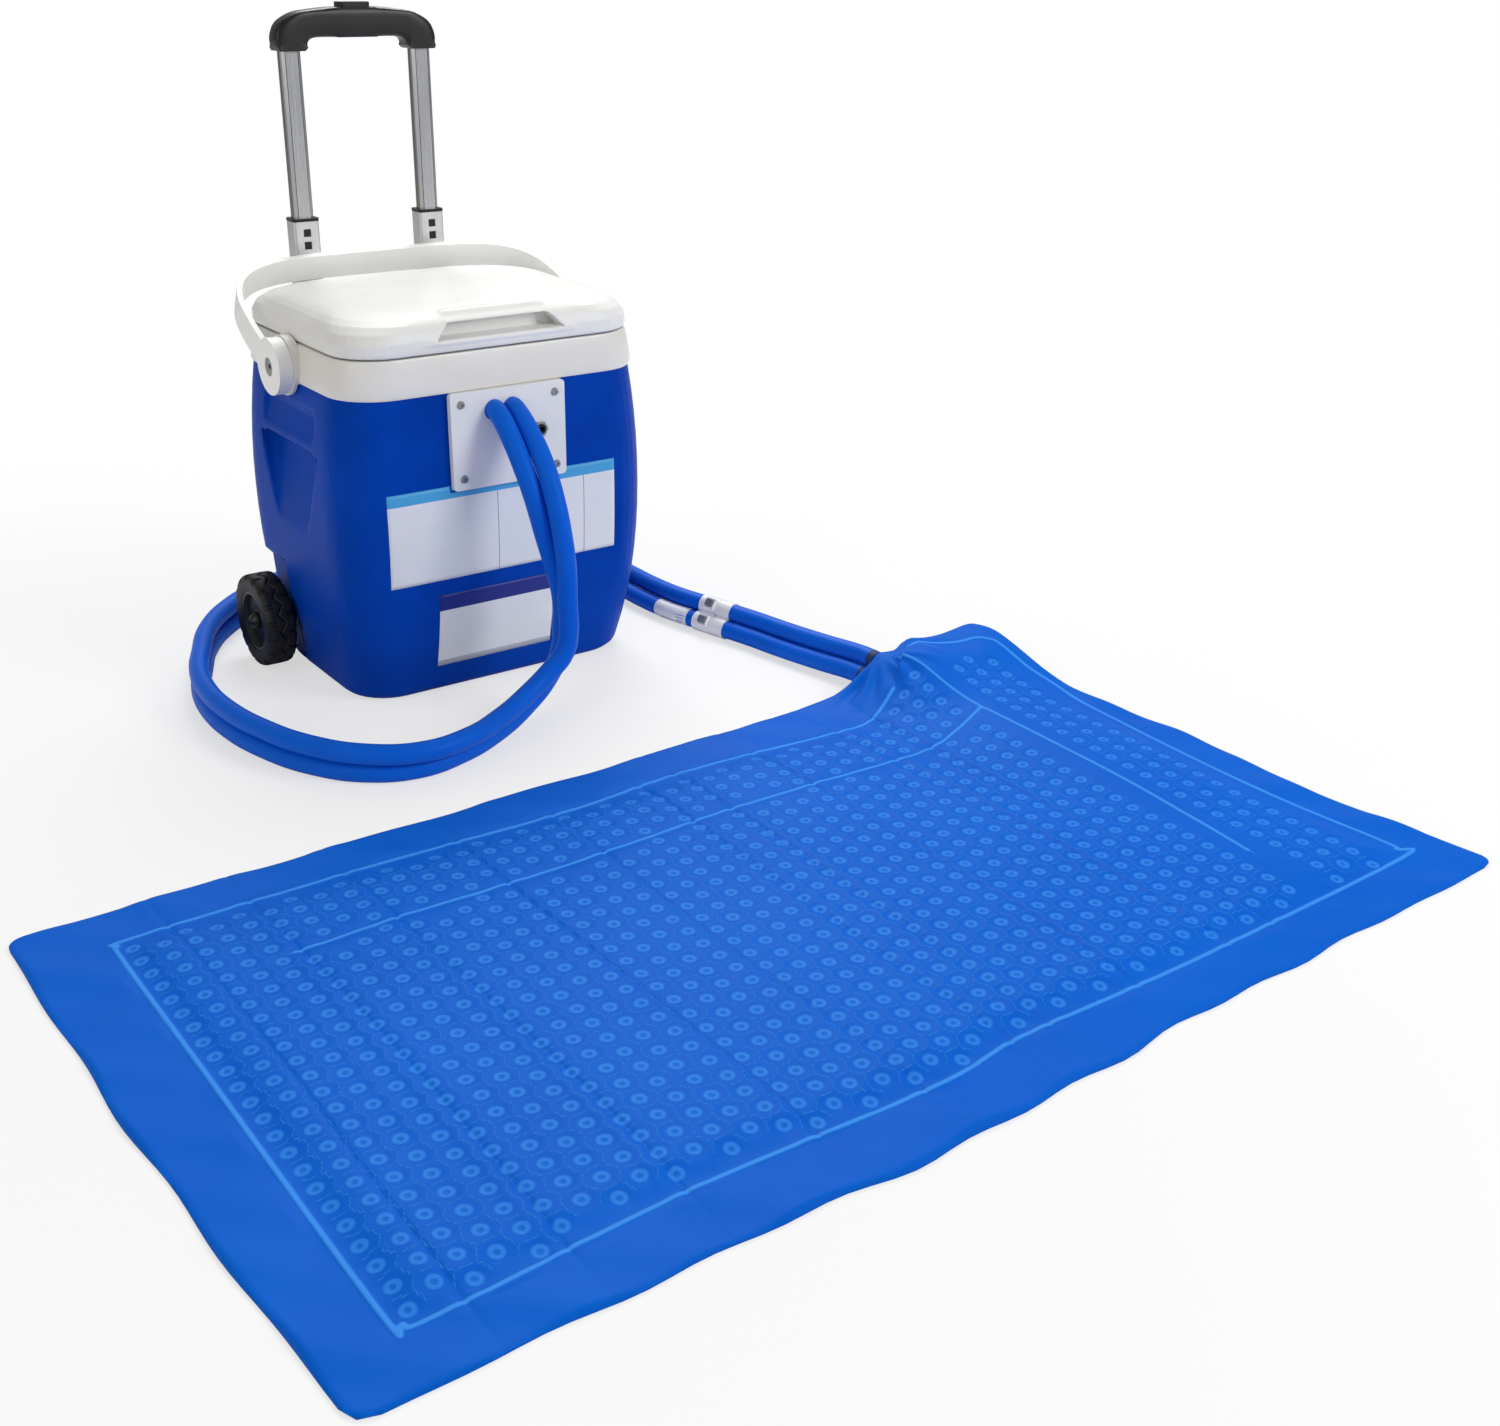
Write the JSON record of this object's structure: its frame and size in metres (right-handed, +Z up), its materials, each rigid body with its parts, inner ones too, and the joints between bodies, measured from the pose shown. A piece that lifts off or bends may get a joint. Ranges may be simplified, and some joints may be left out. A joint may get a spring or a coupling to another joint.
{
  "type": "hot cold therapy machine",
  "caption": "Wheeled cooler with hinged lid, bail and telescopic trolley that pumps iced or warm water through twin hoses and a quick coupler to a welded body pad.",
  "frame": {"origin": "centre of the cooler's flat base, on the floor", "axes": "+Z up; -Y out of the front plate; +X to the right of someone who faces the front"},
  "size_m": [1.054, 1.1873, 0.6359],
  "materials": {
    "shell_blue": "matte",
    "foam": "matte",
    "white_plastic": "satin",
    "plate_white": "matte",
    "steel": "brushed",
    "black_plastic": "matte",
    "clear_tube": "satin",
    "black_lead": "satin",
    "silver_tube": "satin",
    "button_grey": "matte",
    "tyre": "matte",
    "hose_foam": "matte",
    "coupler_white": "satin",
    "collar_dark": "matte",
    "pad_vinyl": "satin"
  },
  "bodies": {
    "cooler": {"outer_shell": "shell_blue", "foam_insulation": "foam", "inner_liner": "white_plastic", "collar": "white_plastic", "hinge_pins": "steel", "bail_screws": "steel", "front_plate": "plate_white", "plate_screws": "steel", "bulkhead_fittings": "black_plastic", "bulkhead_nuts": "black_plastic", "power_inlet": "black_plastic", "inlet_nut": "steel", "supply_tube": "clear_tube", "return_tube": "clear_tube", "pump_body": "black_plastic", "pump_cover": "black_plastic", "pump_lead": "black_lead", "trolley_sleeves": "silver_tube", "sleeve_bushings": "black_plastic", "upper_bracket": "black_plastic", "base_bracket": "black_plastic", "bracket_screws": "steel", "axle": "steel", "axle_caps": "black_plastic", "hose_supply": "hose_foam", "hose_return": "hose_foam", "coupler_socket": "coupler_white", "coupler_plug": "coupler_white", "pad_hose_supply": "hose_foam", "pad_hose_return": "hose_foam", "pad_collars": "collar_dark", "pad": "pad_vinyl"},
    "lid": {"lid_shell": "white_plastic", "lid_liner": "white_plastic"},
    "bail": {"bail_handle": "white_plastic"},
    "trolley": {"inner_tubes": "silver_tube", "tube_end_blocks": "black_plastic", "grip": "black_plastic", "button_spring": "steel"},
    "grip_push": {"grip_button": "button_grey", "release_rods": "steel"},
    "pin_left": {"lock_pin_left": "steel"},
    "pin_right": {"lock_pin_right": "steel"},
    "wheel_left": {"tyre_left": "tyre", "hub_left": "black_plastic"},
    "wheel_right": {"tyre_right": "tyre", "hub_right": "black_plastic"},
    "pump_rotor": {"impeller": "black_plastic"},
    "latch_a": {"coupler_button_a": "button_grey"},
    "latch_b": {"coupler_button_b": "button_grey"}
  },
  "joints": [
    {"name": "lid_hinge", "type": "hinge", "parent": "cooler", "child": "lid", "pos_m": [0, 0.137, 0.356], "axis": [-1, 0, 0], "range_deg": [0, 20]},
    {"name": "bail_swing", "type": "hinge", "parent": "cooler", "child": "bail", "pos_m": [0, 0, 0.322], "axis": [1, 0, 0], "range_deg": [0, 128]},
    {"name": "trolley_slide", "type": "slide", "parent": "cooler", "child": "trolley", "axis": [0, 0, 1], "range_m": [-0.155, 0.155]},
    {"name": "grip_button_press", "type": "slide", "parent": "trolley", "child": "grip_push", "axis": [0, 0, -1], "range_m": [0, 0.004], "stiffness_N_per_m": 900, "springref_m": -0.004, "deforming": ["button_spring"]},
    {"name": "lock_pin_left_slide", "type": "slide", "parent": "trolley", "child": "pin_left", "axis": [1, 0, 0], "range_m": [0, 0.002]},
    {"name": "lock_pin_right_slide", "type": "slide", "parent": "trolley", "child": "pin_right", "axis": [-1, 0, 0], "range_m": [0, 0.002]},
    {"name": "wheel_left_spin", "type": "hinge", "parent": "cooler", "child": "wheel_left", "pos_m": [-0.183, 0.065, 0.0482], "axis": [1, 0, 0], "continuous": true},
    {"name": "wheel_right_spin", "type": "hinge", "parent": "cooler", "child": "wheel_right", "pos_m": [0.183, 0.065, 0.0482], "axis": [1, 0, 0], "continuous": true},
    {"name": "pump_spin", "type": "hinge", "parent": "cooler", "child": "pump_rotor", "pos_m": [-0.0159, -0.054, 0.089], "axis": [0, 1, 0], "continuous": true},
    {"name": "coupler_button_a_press", "type": "slide", "parent": "cooler", "child": "latch_a", "axis": [0.7761, 0.1792, -0.6046], "range_m": [0, 0.002], "stiffness_N_per_m": 1500, "springref_m": -0.001},
    {"name": "coupler_button_b_press", "type": "slide", "parent": "cooler", "child": "latch_b", "axis": [0.7761, 0.1792, -0.6046], "range_m": [0, 0.002], "stiffness_N_per_m": 1500, "springref_m": -0.001}
  ],
  "couplings": [
    {"joint": "lock_pin_left_slide", "follows": "grip_button_press", "ratio": 0.5},
    {"joint": "lock_pin_right_slide", "follows": "grip_button_press", "ratio": 0.5}
  ]
}
